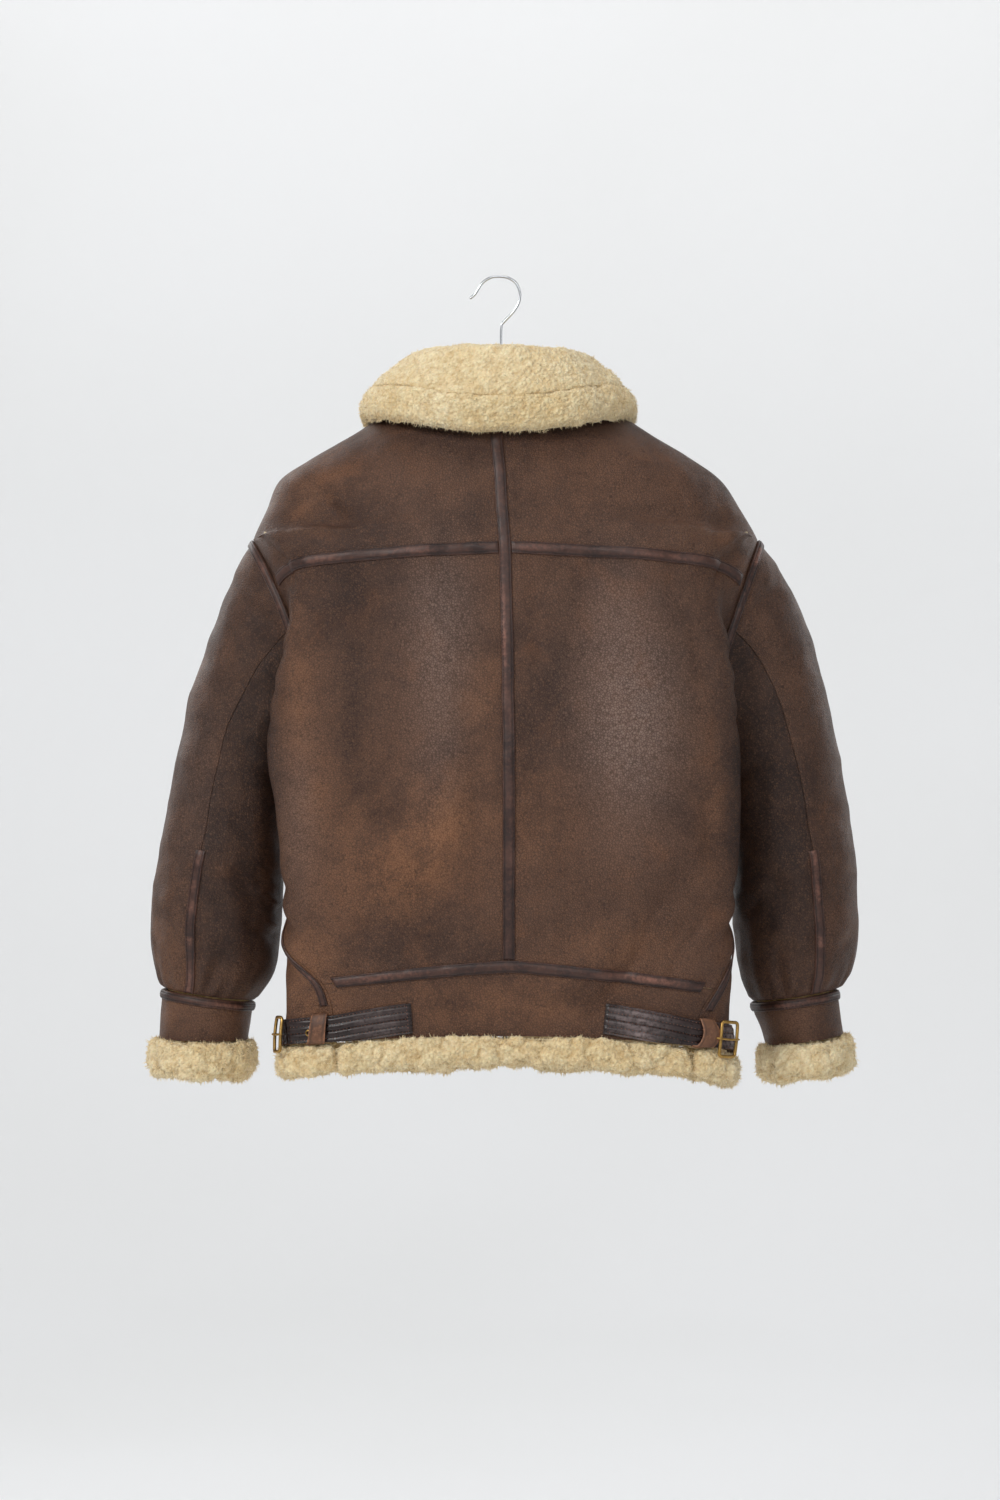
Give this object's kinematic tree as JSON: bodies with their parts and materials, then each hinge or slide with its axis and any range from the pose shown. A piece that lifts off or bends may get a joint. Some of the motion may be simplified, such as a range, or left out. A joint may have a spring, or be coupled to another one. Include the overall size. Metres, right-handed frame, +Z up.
{
  "type": "shearling coat on a wire-hook hanger",
  "caption": "Hip-length shearling coat with turned collar, taped seams, side adjuster straps and wool trims, hanging on a plain hanger with a bent-wire hook.",
  "frame": {"origin": "inner top of the hook, where the hanger is carried", "axes": "+X towards the wearer's right, +Y towards the coat's front, +Z up; the back faces -Y"},
  "size_m": [0.7528, 0.2438, 0.8534],
  "materials": {
    "leather": "worn, mottled",
    "trim": "semi-gloss taping leather",
    "strap": "polished strap leather",
    "tan": "raw tan leather",
    "wool": "clipped shearling wool",
    "brass": "aged",
    "steel": "bright wire",
    "wood": "plain varnished",
    "tape": "woven tape"
  },
  "bodies": {
    "coat": {"back_yoke_left": "leather", "back_yoke_right": "leather", "back_left": "leather", "back_right": "leather", "back_hem_band": "leather", "front_left": "leather", "front_right": "leather", "sleeve_left_upper": "leather", "sleeve_left_under": "leather", "cuff_left": "leather", "sleeve_right_upper": "leather", "sleeve_right_under": "leather", "cuff_right": "leather", "strip_centre_back": "trim", "strip_yoke_left": "trim", "strip_yoke_right": "trim", "strip_hem_back": "trim", "strip_side_left": "trim", "strip_armhole_left": "trim", "strip_sleeve_left": "trim", "strip_cuff_left": "trim", "strip_side_right": "trim", "strip_armhole_right": "trim", "strip_sleeve_right": "trim", "strip_cuff_right": "trim", "collar_upper": "wool", "collar_lower": "wool", "hem_fur_back": "wool", "hem_fur_left": "wool", "cuff_fur_left": "wool", "hem_fur_right": "wool", "cuff_fur_right": "wool", "strap_left": "strap", "front_strap_left": "strap", "keeper_left": "tan", "strap_right": "strap", "front_strap_right": "strap", "keeper_right": "tan", "buckle_left": "brass", "prong_left": "brass", "buckle_right": "brass", "prong_right": "brass", "eyelet_left": "brass", "zip_tape_left": "tape", "zip_tape_right": "tape", "zip_chain": "brass", "zip_slider": "brass", "hanger_hook": "steel", "hanger_body": "wood"},
    "zip_pull": {"zip_pull": "brass"}
  },
  "joints": [
    {"name": "pull_swing", "type": "hinge", "parent": "coat", "child": "zip_pull", "pos_m": [0, 0.08742, -0.21955], "axis": [1, 0, 0], "range_deg": [0, 150]}
  ]
}
